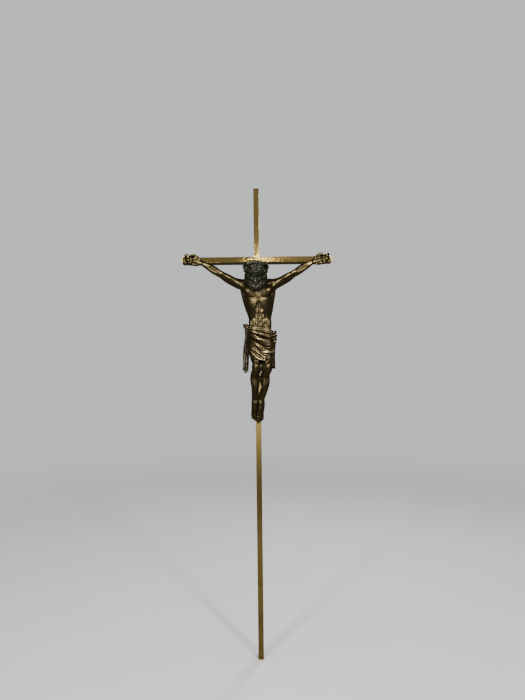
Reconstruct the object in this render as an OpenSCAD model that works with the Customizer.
// Processional cross: a tall cross of flat brass tube with a cast bronze figure on its front.
// Frame: +Z is up, +X is to the right of a person who faces the cross, and the front faces -Y.
// The origin is the centre of the foot's lower face.

/* [Cross] */
// Height of the upright, from the floor to the top
cross_h = 1730; // [1600:10:1900]
// Width of the crossbar, from end to end
cross_w = 550; // [540:10:640]
// Height of the crossbar's centre line
bar_z = 1469; // [1300:1:1500]
// Width of the tube's narrow side, which faces forward
tube_w = 20; // [18:1:24]
// Depth of the tube from front to back
tube_d = 40; // [36:1:50]
// Wall thickness of the tube
wall = 1.5; // [1:0.5:2]

/* [End caps] */
// Thickness of the cap plate that shows
cap_t = 5; // [4:1:8]
// Bevel around the outer edges of a cap
cap_bevel = 2; // [0.5:0.5:3]
// Length of the plug that goes into the tube
plug_len = 12; // [8:1:20]
// Length of the plug that closes the foot
foot_len = 30; // [20:1:60]

/* [Joint of the two bars] */
// Length of the spigot bar inside the crossbar
spigot_len = 140; // [100:10:180]
// Depth of the spigot bar from front to back
spigot_d = 30; // [20:1:32]
// Distance from the upright's centre line to the first screw
screw_x = 28; // [22:1:34]
// Distance between the two screws of one arm
screw_gap = 26; // [18:1:32]
// Radius of a screw's shank
screw_r = 2; // [1.5:0.5:2.5]

/* [Fixing nails] */
// Distance from the centre line to the nail through each hand
hand_x = 229; // [225:1:235]
// Height of the foot nail below the crossbar's centre line
foot_nail_drop = 566; // [560:1:572]
// Radius of a nail's shank
nail_r = 2.5; // [2:0.5:3]
// Half width of a nail's square head
nail_head = 4.5; // [4:0.5:6]

/* [Figure] */
// Forward tilt of the head in degrees
head_tilt = 30; // [25:1:35]
// Forward tilt of the crown in degrees
crown_tilt = 34; // [30:1:38]
// Height of the crown of thorns
crown_h = 24; // [20:1:28]
// Radius of the crown at its lower edge
crown_r_low = 38; // [36:1:40]
// Radius of the crown at its upper edge
crown_r_top = 43; // [40:1:46]

/* [Hidden] */

// Colours
BRASS = [0.72, 0.58, 0.32];
BRONZE = [0.27, 0.22, 0.13];
DARK_BRONZE = [0.15, 0.16, 0.11];
CLOTH_BRONZE = [0.38, 0.30, 0.15];

// Bars
in_w = tube_w - 2 * wall;
in_d = tube_d - 2 * wall;
arm_len = cross_w / 2 - tube_w / 2 - cap_t;
tip_x = cross_w / 2 - cap_t;
hole_r = nail_r + 0.3;
screw_hole_r = screw_r + 0.1;
screw_sink = 1.4;
through = 1;

// Nails, measured from the front face of the cross: negative is forward
hand_head_y = -18;
foot_head_y = -50;
washer_r = 7;
washer_t = 1.5;
nut_r = 5.8;
nut_t = 4;
nut_dome = 3.6;

// Roundness of the figure's plain solids
FACETS = 16;

// The figure's joints as [x, y, z, radius] from the crossing on the front face.
// "left" and "right" are as seen by a person who faces the cross.
head_at = [-3, -62, -71];
neck = [[-2, -34, -92, 19], [-3, -50, -78, 18]];
shoulder_left = [-50, -31, -97, 17];
shoulder_right = [56, -31, -96, 17];
arm_left = [shoulder_left, [-70, -29, -92, 13], [-100, -26, -76, 12], [-138, -20, -53, 12],
            [-160, -17, -41, 11.5], [-206, -12, -11, 7.5]];
arm_right = [shoulder_right, [74, -29, -91, 13], [100, -26, -78, 12], [138, -20, -55, 12],
             [160, -17, -43, 11.5], [200, -12, -14, 7.5]];
hand_left = [-234, -10, -4];
hand_right = [230, -10, -4];

// The trunk's cross-sections as [x, y, z, half width, half depth]
trunk = [[1, -31, -84, 34, 18], [4, -32, -112, 58, 28], [5, -33, -134, 55, 30],
         [7, -33, -163, 50, 29], [9, -32, -197, 43, 25], [10, -31, -227, 39, 22],
         [11, -31, -255, 43, 24], [11, -31, -285, 47, 27], [11, -33, -306, 42, 24]];

leg_left = [[-10, -34, -290, 27], [-9, -50, -340, 22], [-5, -70, -397, 15],
            [-9, -58, -435, 16.5], [-12, -38, -490, 11], [-12, -26, -526, 10]];
leg_right = [[32, -34, -290, 27], [35, -54, -340, 22], [37, -76, -397, 15],
             [30, -66, -435, 16.5], [18, -48, -490, 11], [9, -36, -526, 10]];
foot_left = [[-12, -18, -531, 11], [-12, -20, -560, 11], [-10, -16, -584, 8]];
foot_right = [[8, -32, -531, 11], [5, -40, -560, 11], [4, -37, -584, 8]];

// The wrapped cloth's cross-sections, on the same plan as the trunk's
wrap = [[11, -32, -247, 47, 28], [12, -34, -280, 53, 33], [13, -44, -320, 51, 39],
        [15, -58, -360, 46, 36], [17, -66, -394, 42, 32],
        [18, -69, -410, 41, 31]];

// The cloth that hangs beside the left thigh, as [x, y, z, radius]
knot_left = [-41, -46, -246, 11];
knot_right = [63, -44, -282, 12];
fall = [[-44, -46, -262, 9], [-43, -48, -330, 11], [-45, -48, -380, 11], [-44, -48, -410, 9]];

module on_front() {
  translate([0, -tube_d / 2, bar_z]) children();
}

module ball(p) {
  translate([p[0], p[1], p[2]]) sphere(r = p[3], $fn = FACETS);
}

module chain(points) {
  for (i = [0 : len(points) - 2])
    hull() {
      ball(points[i]);
      ball(points[i + 1]);
    }
}

module slice(s) {
  translate([s[0], s[1], s[2]]) scale([s[3], s[4], 1]) cylinder(r = 1, h = 1, $fn = 24);
}

module loft(slices) {
  for (i = [0 : len(slices) - 2])
    hull() {
      slice(slices[i]);
      slice(slices[i + 1]);
    }
}

module forward_hole(x, z, r) {
  translate([x, 0, z]) rotate([90, 0, 0]) cylinder(r = r, h = 400, center = true, $fn = 48);
}

// ---- Bars ----

module tube(length) {
  difference() {
    translate([-tube_w / 2, -tube_d / 2, 0]) cube([tube_w, tube_d, length]);
    translate([-in_w / 2, -in_d / 2, -through]) cube([in_w, in_d, length + 2 * through]);
  }
}

module upright_tube() {
  color(BRASS) difference() {
    tube(cross_h - cap_t);
    translate([-tube_w, -spigot_d / 2, bar_z - in_w / 2]) cube([2 * tube_w, spigot_d, in_w]);
    forward_hole(0, bar_z - foot_nail_drop, hole_r);
  }
}

// The arm to the right; the left one is its mirror image.
module crossbar_arm() {
  difference() {
    translate([tube_w / 2, 0, bar_z]) rotate([0, 90, 0]) tube(arm_len);
    forward_hole(hand_x, bar_z, hole_r);
    for (i = [0, 1])
      translate([screw_x + i * screw_gap, tube_d / 2 + through, bar_z]) rotate([90, 0, 0])
        cylinder(r = screw_hole_r, h = wall + 2 * through, $fn = 32);
  }
}

module crossbar_arm_right() {
  color(BRASS) crossbar_arm();
}

module crossbar_arm_left() {
  color(BRASS) mirror([1, 0, 0]) crossbar_arm();
}

module crossbar_spigot() {
  color(BRASS) difference() {
    translate([-spigot_len / 2, -spigot_d / 2, bar_z - in_w / 2])
      cube([spigot_len, spigot_d, in_w]);
    for (side = [-1, 1], i = [0, 1])
      translate([side * (screw_x + i * screw_gap), spigot_d / 2 + through, bar_z])
        rotate([90, 0, 0]) cylinder(r = screw_hole_r, h = 12 + through, $fn = 32);
  }
}

// Pan-head screws from the back, through each arm's wall and into the spigot
module spigot_screws() {
  color(BRASS)
    for (side = [-1, 1], i = [0, 1])
      translate([side * (screw_x + i * screw_gap), tube_d / 2, bar_z]) {
        rotate([90, 0, 0]) cylinder(r = screw_r, h = 15, $fn = 32);
        difference() {
          rotate([-90, 0, 0]) cylinder(r = 2 * screw_r, h = screw_sink, $fn = 32);
          translate([-3 * screw_r, screw_sink / 2, -0.4]) cube([6 * screw_r, screw_sink, 0.8]);
        }
      }
}

// A cap plate with its outer face at z = 0 and its plug towards -Z
module end_cap(plug) {
  half_w = tube_w / 2;
  half_d = tube_d / 2;
  intersection() {
    rotate([90, 0, 0]) linear_extrude(tube_d, center = true)
      polygon([[-half_w, -cap_t], [half_w, -cap_t], [half_w, -cap_bevel],
               [half_w - cap_bevel, 0], [cap_bevel - half_w, 0], [-half_w, -cap_bevel]]);
    rotate([90, 0, 90]) linear_extrude(tube_w, center = true)
      polygon([[-half_d, -cap_t], [half_d, -cap_t], [half_d, -cap_bevel],
               [half_d - cap_bevel, 0], [cap_bevel - half_d, 0], [-half_d, -cap_bevel]]);
  }
  translate([-in_w / 2, -in_d / 2, -cap_t - plug]) cube([in_w, in_d, plug]);
}

module top_cap() {
  color(BRASS) translate([0, 0, cross_h]) end_cap(plug_len);
}

module right_cap() {
  color(BRASS) translate([cross_w / 2, 0, bar_z]) rotate([0, 90, 0]) end_cap(plug_len);
}

module left_cap() {
  color(BRASS) mirror([1, 0, 0]) translate([cross_w / 2, 0, bar_z]) rotate([0, 90, 0])
    end_cap(plug_len);
}

// A solid plug inside the foot, flush with the tube's end
module foot_plug() {
  color(BRASS) translate([-in_w / 2, -in_d / 2, 0]) cube([in_w, in_d, foot_len]);
}

// ---- Figure ----

module head_frame() {
  translate(head_at) rotate([head_tilt, 0, 0]) children();
}

module head() {
  hull() {
    head_frame() translate([0, 4, 8]) scale([29, 35, 29]) sphere(r = 1, $fn = 24);
    head_frame() translate([0, -18, -28]) scale([15, 13, 12]) sphere(r = 1, $fn = 16);
  }
  // Beard
  hull() {
    head_frame() translate([0, -22, -28]) scale([15, 11, 12]) sphere(r = 1, $fn = 16);
    head_frame() translate([-3, -27, -50]) scale([7, 6, 6]) sphere(r = 1, $fn = 16);
  }
  // Hair on both sides
  for (side = [-1, 1])
    hull() {
      head_frame() translate([side * 25, 6, -2]) scale([12, 22, 16]) sphere(r = 1, $fn = 16);
      head_frame() translate([side * 33, 2, -38]) scale([8, 12, 10]) sphere(r = 1, $fn = 16);
    }
}

module trunk_and_legs() {
  loft(trunk);
  chain(neck);
  chain(leg_left);
  chain(leg_right);
  chain(foot_left);
  chain(foot_right);
}

module peg_axis(side) {
  from = side < 0 ? shoulder_left : shoulder_right;
  translate([from[0] + side * 4, from[1] + 1, from[2] + 2]) rotate([0, side * 66, 0]) children();
}

module arm(points, palm, side) {
  difference() {
    union() {
      chain(points);
      hull() {
        ball([points[5][0], points[5][1], points[5][2], 8]);
        translate(palm) scale([16, 7.5, 15]) sphere(r = 1, $fn = 20);
      }
      // Curled fingers and thumb
      hull() {
        translate(palm + [side * 9, 0, 4]) scale([15, 8, 12]) sphere(r = 1, $fn = 20);
        translate(palm + [side * 16, -12, -1]) scale([9, 8, 11]) sphere(r = 1, $fn = 16);
      }
      hull() {
        translate(palm + [-side * 9, -2, 13]) sphere(r = 6, $fn = FACETS);
        translate(palm + [side * 6, -11, 17]) sphere(r = 6, $fn = FACETS);
      }
    }
    loft(trunk);
    // Flat back, where the hand lies on the crossbar
    translate([-400, 0, -60]) cube([800, 60, 120]);
    forward_hole(side * hand_x, 0, hole_r);
    peg_axis(side) cylinder(r = 4.2, h = 40, center = true, $fn = 32);
  }
}

module corpus_body() {
  color(BRONZE) on_front() difference() {
    union() {
      trunk_and_legs();
      head();
    }
    // Flat back, where the figure meets the upright
    translate([-200, 0, -700]) cube([400, 80, 700]);
    forward_hole(0, -foot_nail_drop, hole_r);
    for (side = [-1, 1])
      peg_axis(side) cylinder(r = 4.2, h = 40, center = true, $fn = 32);
  }
}

module corpus_arm_left() {
  color(BRONZE) on_front() arm(arm_left, hand_left, -1);
}

module corpus_arm_right() {
  color(BRONZE) on_front() arm(arm_right, hand_right, 1);
}

// Round pegs that carry the arms on the body
module shoulder_pegs() {
  color(BRONZE) on_front()
    for (side = [-1, 1])
      peg_axis(side) cylinder(r = 4, h = 30, center = true, $fn = 32);
}

module crown_frame() {
  translate(head_at + [0, -7.3, 22]) rotate([crown_tilt, 0, 0]) children();
}

module crown_of_thorns() {
  band = 7;
  color(DARK_BRONZE) on_front() difference() {
    crown_frame() rotate_extrude($fn = 64)
      polygon([[crown_r_low - band, -crown_h / 2], [crown_r_low, -crown_h / 2],
               [crown_r_low + 3, -crown_h / 4], [crown_r_top, crown_h / 4],
               [crown_r_top - 1, crown_h / 2], [crown_r_top - band, crown_h / 2]]);
    head();
    trunk_and_legs();
  }
}

module loincloth() {
  color(CLOTH_BRONZE) on_front() difference() {
    union() {
      loft(wrap);
      ball(knot_left);
      ball(knot_right);
    }
    trunk_and_legs();
    translate([-200, 0, -700]) cube([400, 80, 700]);
    // The hem runs down from the left hip to the right knee
    translate([-60, -150, -384]) rotate([0, 22, 0]) translate([0, 0, -60]) cube([150, 200, 90]);
  }
}

module loincloth_fall() {
  color(CLOTH_BRONZE) on_front() difference() {
    chain(fall);
    trunk_and_legs();
    loft(wrap);
    ball(knot_left);
  }
}

// ---- Nails, with their washers and nuts behind the cross ----

module nail(head_y) {
  rotate([90, 0, 0]) translate([0, 0, -tube_d - washer_t - nut_t - 1])
    cylinder(r = nail_r, h = tube_d + washer_t + nut_t + 1 - head_y, $fn = 32);
  translate([0, head_y, 0]) rotate([90, 0, 0]) linear_extrude(3)
    square(2 * nail_head, center = true);
}

module hand_nail_left() {
  color(BRONZE) on_front() translate([-hand_x, 0, 0]) nail(hand_head_y);
}

module hand_nail_right() {
  color(BRONZE) on_front() translate([hand_x, 0, 0]) nail(hand_head_y);
}

module foot_nail() {
  color(BRONZE) on_front() translate([0, 0, -foot_nail_drop]) nail(foot_head_y);
}

module at_each_nail() {
  on_front()
    for (at = [[-hand_x, 0], [hand_x, 0], [0, -foot_nail_drop]])
      translate([at[0], tube_d, at[1]]) rotate([-90, 0, 0]) children();
}

module nail_washers() {
  color(BRASS) at_each_nail() difference() {
    cylinder(r = washer_r, h = washer_t, $fn = 48);
    translate([0, 0, -through]) cylinder(r = hole_r, h = washer_t + 2 * through, $fn = 32);
  }
}

module nail_nuts() {
  color(BRASS) at_each_nail() translate([0, 0, washer_t]) difference() {
    union() {
      cylinder(r = nut_r, h = nut_t, $fn = 6);
      cylinder(r = nut_r * 0.8, h = nut_t + nut_dome, $fn = 32);
    }
    translate([0, 0, -through]) cylinder(r = nail_r + 0.1, h = nut_t + 2 + through, $fn = 32);
  }
}

upright_tube();
crossbar_arm_left();
crossbar_arm_right();
crossbar_spigot();
spigot_screws();
top_cap();
left_cap();
right_cap();
foot_plug();
corpus_body();
corpus_arm_left();
corpus_arm_right();
shoulder_pegs();
crown_of_thorns();
loincloth();
loincloth_fall();
hand_nail_left();
hand_nail_right();
foot_nail();
nail_washers();
nail_nuts();
